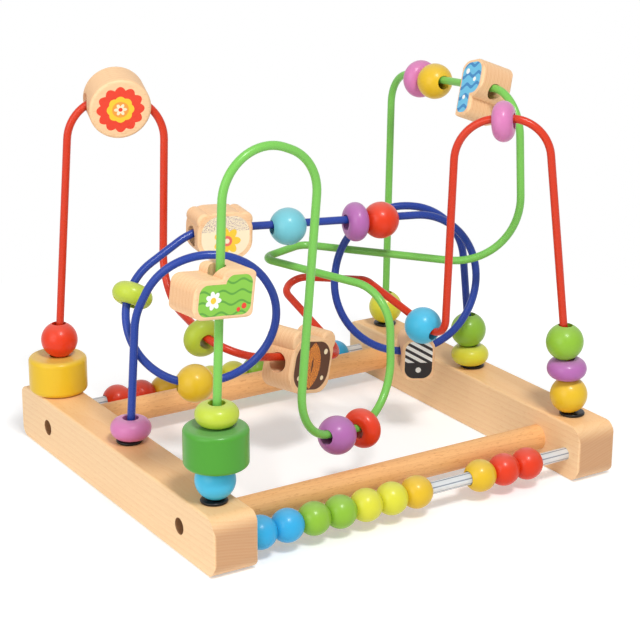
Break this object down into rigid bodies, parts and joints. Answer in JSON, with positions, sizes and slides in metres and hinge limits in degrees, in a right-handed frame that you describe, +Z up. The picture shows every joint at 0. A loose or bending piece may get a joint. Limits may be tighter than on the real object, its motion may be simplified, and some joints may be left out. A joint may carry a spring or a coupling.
{
  "type": "bead maze",
  "caption": "Wooden bead maze toy: two beech blocks joined by dowels and counting rods, bent wires above and loose beads that slide along them.",
  "frame": {"origin": "on the floor, at the bottom centre of the box around the whole part", "axes": "+X along the dowels to the right block, +Y to the rear, +Z up"},
  "size_m": [0.2936, 0.26, 0.2474],
  "materials": {
    "wood": "clear satin varnish on beech",
    "steel": "zinc-plated",
    "black": "moulded gloss",
    "clear": "clear acrylic",
    "wire_red": "plastic-coated wire",
    "wire_green": "plastic-coated wire",
    "wire_blue": "plastic-coated wire",
    "red": "gloss paint",
    "orange": "gloss paint",
    "yellow": "gloss paint",
    "lime": "gloss paint",
    "green": "gloss paint",
    "sky": "gloss paint",
    "purple": "gloss paint",
    "pink": "gloss paint",
    "printed": "bare beech with a printed panel"
  },
  "bodies": {
    "base": {"left_block": "wood", "right_block": "wood", "front_dowel": "wood", "rear_dowel": "wood", "counting_rods": "clear", "dowel_screws": "steel", "wire_grommets": "black", "red_wire": "wire_red", "green_wire": "wire_green", "blue_wire": "wire_blue"},
    "yellow_drum": {"yellow_drum": "yellow"},
    "red_leg_ball": {"red_leg_ball": "red"},
    "lion_bead": {"lion_bead": "printed"},
    "lime_lane_disc": {"lime_lane_disc": "lime"},
    "bear_bead": {"bear_bead": "printed"},
    "sky_lane_ball": {"sky_lane_ball": "sky"},
    "pink_crown_disc": {"pink_crown_disc": "pink"},
    "orange_post_ball": {"orange_post_ball": "orange"},
    "purple_post_disc": {"purple_post_disc": "purple"},
    "green_post_ball": {"green_post_ball": "green"},
    "sky_leg_ball": {"sky_leg_ball": "sky"},
    "green_drum": {"green_drum": "green"},
    "lime_leg_disc": {"lime_leg_disc": "lime"},
    "crocodile_bead": {"crocodile_bead": "printed"},
    "purple_dip_ball": {"purple_dip_ball": "purple"},
    "red_dip_disc": {"red_dip_disc": "red"},
    "elephant_bead": {"elephant_bead": "printed"},
    "yellow_top_ball": {"yellow_top_ball": "yellow"},
    "pink_top_disc": {"pink_top_disc": "pink"},
    "yellow_corner_ball": {"yellow_corner_ball": "yellow"},
    "pink_leg_disc": {"pink_leg_disc": "pink"},
    "orange_loop_ball": {"orange_loop_ball": "orange"},
    "lime_loop_disc": {"lime_loop_disc": "lime"},
    "monkey_bead": {"monkey_bead": "printed"},
    "sky_strand_ball": {"sky_strand_ball": "sky"},
    "purple_strand_disc": {"purple_strand_disc": "purple"},
    "red_strand_ball": {"red_strand_ball": "red"},
    "zebra_bead": {"zebra_bead": "printed"},
    "yellow_post_disc": {"yellow_post_disc": "yellow"},
    "green_disc_ball": {"green_disc_ball": "green"},
    "front_bead_1": {"front_bead_1": "sky"},
    "front_bead_2": {"front_bead_2": "sky"},
    "front_bead_3": {"front_bead_3": "green"},
    "front_bead_4": {"front_bead_4": "green"},
    "front_bead_5": {"front_bead_5": "yellow"},
    "front_bead_6": {"front_bead_6": "yellow"},
    "front_bead_7": {"front_bead_7": "orange"},
    "front_bead_8": {"front_bead_8": "orange"},
    "front_bead_9": {"front_bead_9": "red"},
    "front_bead_10": {"front_bead_10": "red"},
    "rear_bead_1": {"rear_bead_1": "red"},
    "rear_bead_2": {"rear_bead_2": "red"},
    "rear_bead_3": {"rear_bead_3": "orange"},
    "rear_bead_4": {"rear_bead_4": "orange"},
    "rear_bead_5": {"rear_bead_5": "yellow"},
    "rear_bead_6": {"rear_bead_6": "yellow"},
    "rear_bead_7": {"rear_bead_7": "green"},
    "rear_bead_8": {"rear_bead_8": "green"},
    "rear_bead_9": {"rear_bead_9": "sky"},
    "rear_bead_10": {"rear_bead_10": "sky"}
  },
  "joints": [
    {"name": "yellow_drum_slide", "type": "slide", "parent": "base", "child": "yellow_drum", "axis": [0.0637, -0.0415, 0.9971], "range_m": [0, 0.05]},
    {"name": "red_leg_ball_slide", "type": "slide", "parent": "yellow_drum", "child": "red_leg_ball", "axis": [0.0637, -0.0415, 0.9971], "range_m": [0, 0.055]},
    {"name": "lion_bead_sweep", "type": "hinge", "parent": "base", "child": "lion_bead", "pos_m": [-0.08644, 0.08316, 0.20151], "axis": [0.4448, 0.8954, -0.0217], "range_deg": [-1.5, 5]},
    {"name": "lime_lane_disc_slide", "type": "slide", "parent": "base", "child": "lime_lane_disc", "axis": [-0.0431, -0.983, -0.1783], "range_m": [-0.02, 0]},
    {"name": "bear_bead_slide", "type": "slide", "parent": "base", "child": "bear_bead", "axis": [0.9241, 0.2935, -0.2446], "range_m": [-0.009, 0.008]},
    {"name": "sky_lane_ball_slide", "type": "slide", "parent": "base", "child": "sky_lane_ball", "axis": [0.1316, -0.9508, -0.2806], "range_m": [-0.03, 0]},
    {"name": "pink_crown_disc_sweep", "type": "hinge", "parent": "base", "child": "pink_crown_disc", "pos_m": [0.0956, -0.07584, 0.19816], "axis": [0.7313, 0.6817, 0.0223], "range_deg": [-10, 10]},
    {"name": "orange_post_ball_slide", "type": "slide", "parent": "base", "child": "orange_post_ball", "axis": [-0.1025, 0.0522, 0.9934], "range_m": [0, 0.028]},
    {"name": "purple_post_disc_slide", "type": "slide", "parent": "orange_post_ball", "child": "purple_post_disc", "axis": [-0.1025, 0.0522, 0.9934], "range_m": [0, 0.028]},
    {"name": "green_post_ball_slide", "type": "slide", "parent": "purple_post_disc", "child": "green_post_ball", "axis": [-0.1025, 0.0522, 0.9934], "range_m": [0, 0.028]},
    {"name": "sky_leg_ball_slide", "type": "slide", "parent": "base", "child": "sky_leg_ball", "axis": [0.0405, 0, 0.9992], "range_m": [0, 0.011]},
    {"name": "green_drum_slide", "type": "slide", "parent": "sky_leg_ball", "child": "green_drum", "axis": [0.0405, 0, 0.9992], "range_m": [0, 0.011]},
    {"name": "lime_leg_disc_slide", "type": "slide", "parent": "green_drum", "child": "lime_leg_disc", "axis": [0.0405, 0, 0.9992], "range_m": [0, 0.011]},
    {"name": "crocodile_bead_slide", "type": "slide", "parent": "base", "child": "crocodile_bead", "axis": [0.0405, 0, 0.9992], "range_m": [-0.01, 0.028]},
    {"name": "purple_dip_ball_slide", "type": "slide", "parent": "base", "child": "purple_dip_ball", "axis": [0.9158, 0.3565, -0.1852], "range_m": [0, 0.005]},
    {"name": "red_dip_disc_sweep", "type": "hinge", "parent": "base", "child": "red_dip_disc", "pos_m": [-0.00632, -0.06955, 0.08084], "axis": [0.3743, -0.9246, 0.0711], "range_deg": [0, 45]},
    {"name": "elephant_bead_slide", "type": "slide", "parent": "base", "child": "elephant_bead", "axis": [0.0431, 0.9959, -0.0801], "range_m": [0, 0.014]},
    {"name": "yellow_top_ball_slide", "type": "slide", "parent": "base", "child": "yellow_top_ball", "axis": [0.0431, 0.9959, -0.0801], "range_m": [-0.014, 0]},
    {"name": "pink_top_disc_slide", "type": "slide", "parent": "base", "child": "pink_top_disc", "axis": [0.0431, 0.9959, -0.0801], "range_m": [0, 0.007]},
    {"name": "yellow_corner_ball_slide", "type": "slide", "parent": "base", "child": "yellow_corner_ball", "axis": [0, -0.0216, 0.9998], "range_m": [0, 0.12]},
    {"name": "pink_leg_disc_slide", "type": "slide", "parent": "base", "child": "pink_leg_disc", "axis": [0.0572, -0.0233, 0.9981], "range_m": [0, 0.022]},
    {"name": "orange_loop_ball_sweep", "type": "hinge", "parent": "base", "child": "orange_loop_ball", "pos_m": [-0.07928, 0.00101, 0.10796], "axis": [0.2758, 0.8473, -0.454], "range_deg": [-12, 22]},
    {"name": "lime_loop_disc_sweep", "type": "hinge", "parent": "base", "child": "lime_loop_disc", "pos_m": [-0.07928, 0.00101, 0.10796], "axis": [0.2758, 0.8473, -0.454], "range_deg": [-12, 28]},
    {"name": "monkey_bead_slide", "type": "slide", "parent": "base", "child": "monkey_bead", "axis": [0.9837, -0.1764, -0.0354], "range_m": [0, 0.005]},
    {"name": "sky_strand_ball_slide", "type": "slide", "parent": "base", "child": "sky_strand_ball", "axis": [0.9837, -0.1764, -0.0354], "range_m": [-0.005, 0.012]},
    {"name": "purple_strand_disc_slide", "type": "slide", "parent": "base", "child": "purple_strand_disc", "axis": [0.9837, -0.1764, -0.0354], "range_m": [-0.012, 0]},
    {"name": "red_strand_ball_slide", "type": "slide", "parent": "base", "child": "red_strand_ball", "axis": [0.9837, -0.1764, -0.0354], "range_m": [0, 0.012]},
    {"name": "zebra_bead_sweep", "type": "hinge", "parent": "base", "child": "zebra_bead", "pos_m": [0.08084, 0.00702, 0.10283], "axis": [0.4362, 0.8623, -0.2573], "range_deg": [-27, 6]},
    {"name": "yellow_post_disc_slide", "type": "slide", "parent": "base", "child": "yellow_post_disc", "axis": [-0.1007, 0.0173, 0.9948], "range_m": [0, 0.012]},
    {"name": "green_disc_ball_slide", "type": "slide", "parent": "yellow_post_disc", "child": "green_disc_ball", "axis": [-0.1007, 0.0173, 0.9948], "range_m": [0, 0.012]},
    {"name": "front_bead_1_slide", "type": "slide", "parent": "base", "child": "front_bead_1", "axis": [1, 0, 0], "range_m": [0, 0.0039]},
    {"name": "front_bead_2_slide", "type": "slide", "parent": "front_bead_1", "child": "front_bead_2", "axis": [1, 0, 0], "range_m": [0, 0.0039]},
    {"name": "front_bead_3_slide", "type": "slide", "parent": "front_bead_2", "child": "front_bead_3", "axis": [1, 0, 0], "range_m": [0, 0.0039]},
    {"name": "front_bead_4_slide", "type": "slide", "parent": "front_bead_3", "child": "front_bead_4", "axis": [1, 0, 0], "range_m": [0, 0.0039]},
    {"name": "front_bead_5_slide", "type": "slide", "parent": "front_bead_4", "child": "front_bead_5", "axis": [1, 0, 0], "range_m": [0, 0.0039]},
    {"name": "front_bead_6_slide", "type": "slide", "parent": "front_bead_5", "child": "front_bead_6", "axis": [1, 0, 0], "range_m": [0, 0.0039]},
    {"name": "front_bead_7_slide", "type": "slide", "parent": "front_bead_6", "child": "front_bead_7", "axis": [1, 0, 0], "range_m": [0, 0.0039]},
    {"name": "front_bead_8_slide", "type": "slide", "parent": "base", "child": "front_bead_8", "axis": [1, 0, 0], "range_m": [0, 0.0065]},
    {"name": "front_bead_9_slide", "type": "slide", "parent": "front_bead_8", "child": "front_bead_9", "axis": [1, 0, 0], "range_m": [0, 0.0065]},
    {"name": "front_bead_10_slide", "type": "slide", "parent": "front_bead_9", "child": "front_bead_10", "axis": [1, 0, 0], "range_m": [0, 0.0065]},
    {"name": "rear_bead_1_slide", "type": "slide", "parent": "base", "child": "rear_bead_1", "axis": [1, 0, 0], "range_m": [-0.025, 0.0014]},
    {"name": "rear_bead_2_slide", "type": "slide", "parent": "rear_bead_1", "child": "rear_bead_2", "axis": [1, 0, 0], "range_m": [0, 0.0014]},
    {"name": "rear_bead_3_slide", "type": "slide", "parent": "rear_bead_2", "child": "rear_bead_3", "axis": [1, 0, 0], "range_m": [0, 0.0014]},
    {"name": "rear_bead_4_slide", "type": "slide", "parent": "rear_bead_3", "child": "rear_bead_4", "axis": [1, 0, 0], "range_m": [0, 0.0014]},
    {"name": "rear_bead_5_slide", "type": "slide", "parent": "rear_bead_4", "child": "rear_bead_5", "axis": [1, 0, 0], "range_m": [0, 0.0014]},
    {"name": "rear_bead_6_slide", "type": "slide", "parent": "rear_bead_5", "child": "rear_bead_6", "axis": [1, 0, 0], "range_m": [0, 0.0014]},
    {"name": "rear_bead_7_slide", "type": "slide", "parent": "rear_bead_6", "child": "rear_bead_7", "axis": [1, 0, 0], "range_m": [0, 0.0014]},
    {"name": "rear_bead_8_slide", "type": "slide", "parent": "rear_bead_7", "child": "rear_bead_8", "axis": [1, 0, 0], "range_m": [0, 0.0014]},
    {"name": "rear_bead_9_slide", "type": "slide", "parent": "base", "child": "rear_bead_9", "axis": [1, 0, 0], "range_m": [0, 0.0055]},
    {"name": "rear_bead_10_slide", "type": "slide", "parent": "rear_bead_9", "child": "rear_bead_10", "axis": [1, 0, 0], "range_m": [0, 0.0055]}
  ]
}
